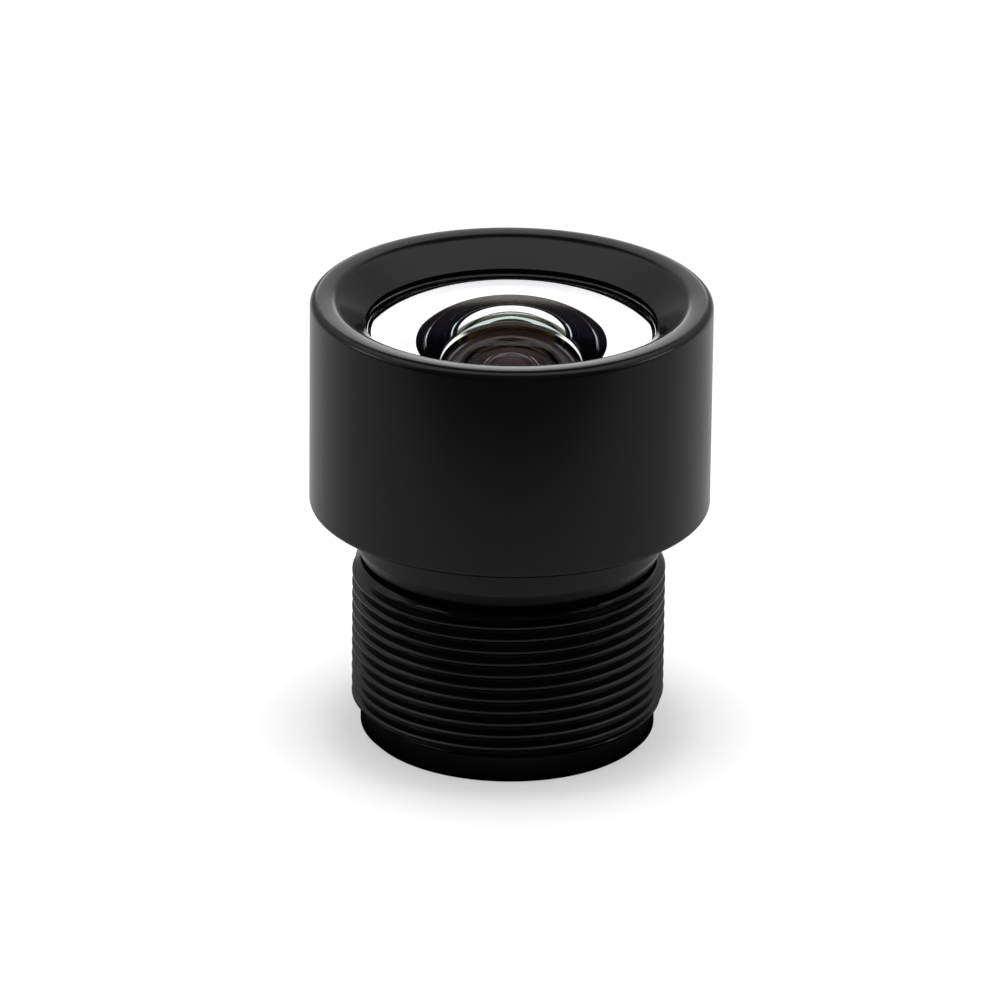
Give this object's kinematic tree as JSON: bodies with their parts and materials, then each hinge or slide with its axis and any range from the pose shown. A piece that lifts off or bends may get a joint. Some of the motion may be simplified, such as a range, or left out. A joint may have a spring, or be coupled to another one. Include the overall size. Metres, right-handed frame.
{
  "type": "board lens",
  "caption": "Fixed-focus lens for a board camera: black threaded barrel with a stack of glass elements, a wide dished front cap over a domed front glass, and a filter at the rear.",
  "frame": {"origin": "centre of the barrel's flat rear face, which the lens stands on", "axes": "+Z along the optical axis from the rear face to the front glass; the lens is round about Z"},
  "size_m": [0.0153, 0.0152, 0.0176],
  "materials": {
    "black_anodised": "semi-gloss black anodised, turned",
    "black_anodised_cap": "semi-gloss black anodised, turned",
    "front_glass": "polished, anti-reflection coated",
    "optical_glass": "polished, anti-reflection coated",
    "filter_glass": "polished, infrared-cut coated",
    "black_rubber": "moulded",
    "bright_aluminium": "bright",
    "black_film": "matt black film",
    "black_spacer": "matt black anodised",
    "retainer_black": "matt black anodised",
    "black_adhesive": "cured black adhesive"
  },
  "bodies": {
    "root": {"barrel": "black_anodised", "front_cap": "black_anodised_cap", "front_element": "front_glass", "seal_ring": "black_rubber", "seat_washer": "bright_aluminium", "second_element": "optical_glass", "front_mask": "black_film", "first_spacer": "black_spacer", "third_element": "optical_glass", "second_spacer": "black_spacer", "aperture_stop": "black_film", "third_spacer": "black_spacer", "fourth_element": "optical_glass", "fifth_element": "optical_glass", "rear_mask": "black_film", "fourth_spacer": "black_spacer", "sixth_element": "optical_glass", "rear_retainer": "retainer_black", "ir_cut_filter": "filter_glass", "filter_bond": "black_adhesive"}
  },
  "joints": []
}
